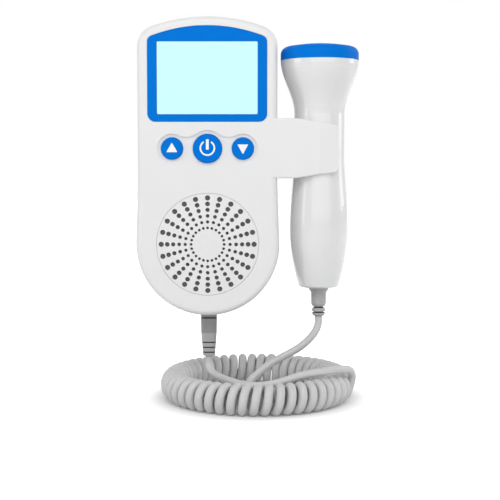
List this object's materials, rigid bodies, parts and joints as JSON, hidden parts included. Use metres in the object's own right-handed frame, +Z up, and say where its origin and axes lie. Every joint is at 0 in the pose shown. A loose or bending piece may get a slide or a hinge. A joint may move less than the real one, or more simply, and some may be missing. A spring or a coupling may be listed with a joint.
{
  "type": "fetal doppler monitor",
  "caption": "Pocket fetal doppler monitor with a display, press buttons and a loudspeaker, a round-headed probe in a side holder and a curly cord.",
  "frame": {"origin": "middle of the main unit's flat back, halfway up its height", "axes": "+X to the right of the display, towards the probe; +Y away from the person who looks at the display; +Z up along the unit"},
  "size_m": [0.1014, 0.09, 0.1748],
  "materials": {
    "white_plastic": "smooth moulded, satin to gloss",
    "blue_plastic": "smooth moulded, glossy",
    "window_lens": "pale lens over the display, glossy",
    "lcd_glass": "glass sandwich on a backlight",
    "circuit_board": "solder mask",
    "black_plastic": "moulded",
    "dust_cloth": "fine weave",
    "speaker_steel": "pressed steel",
    "cone_film": "thin formed film",
    "cell_can": "printed sleeve on a can",
    "contact_metal": "nickel plated",
    "screw_steel": "zinc plated",
    "grey_rubber": "soft moulded, matte",
    "cord_jacket": "satin extruded jacket",
    "seal_rubber": "o-ring",
    "ceramic": "silvered ceramic",
    "backing_rubber": "cast"
  },
  "bodies": {
    "main": {"front_shell": "white_plastic", "back_shell": "white_plastic", "display_bezel": "blue_plastic", "display_window": "window_lens", "lcd_panel": "lcd_glass", "main_board": "circuit_board", "button_switches": "black_plastic", "speaker_grille": "white_plastic", "speaker_cloth": "dust_cloth", "speaker_frame": "speaker_steel", "speaker_cone": "cone_film", "battery_cells": "cell_can", "battery_springs": "contact_metal", "contact_bridge": "contact_metal", "contact_terminals": "contact_metal", "housing_screws": "screw_steel", "plug_socket": "black_plastic", "headphone_socket": "black_plastic", "unit_plug": "grey_rubber", "unit_plug_pin": "contact_metal", "unit_lead": "cord_jacket", "curly_cord": "cord_jacket", "probe_lead": "cord_jacket"},
    "power_button": {"power_button": "blue_plastic"},
    "volume_up_button": {"volume_up_button": "blue_plastic"},
    "volume_down_button": {"volume_down_button": "blue_plastic"},
    "battery_door": {"battery_door": "white_plastic"},
    "probe": {"probe_front_shell": "white_plastic", "probe_back_shell": "white_plastic", "probe_cap": "blue_plastic", "probe_seal": "seal_rubber", "transducer": "ceramic", "transducer_backing": "backing_rubber", "probe_board": "circuit_board", "probe_boot": "grey_rubber"}
  },
  "joints": [
    {"name": "power_press", "type": "slide", "parent": "main", "child": "power_button", "axis": [0, 1, 0], "range_m": [0, 0.0006], "stiffness_N_per_m": 1500},
    {"name": "volume_up_press", "type": "slide", "parent": "main", "child": "volume_up_button", "axis": [0, 1, 0], "range_m": [0, 0.0006], "stiffness_N_per_m": 1500},
    {"name": "volume_down_press", "type": "slide", "parent": "main", "child": "volume_down_button", "axis": [0, 1, 0], "range_m": [0, 0.0006], "stiffness_N_per_m": 1500},
    {"name": "battery_door_swing", "type": "hinge", "parent": "main", "child": "battery_door", "pos_m": [0, 0, 0.00335], "axis": [-1, 0, 0], "range_deg": [0, 70]},
    {"name": "probe_release", "type": "slide", "parent": "main", "child": "probe", "axis": [1, 0, 0], "range_m": [0, 0.026]}
  ]
}
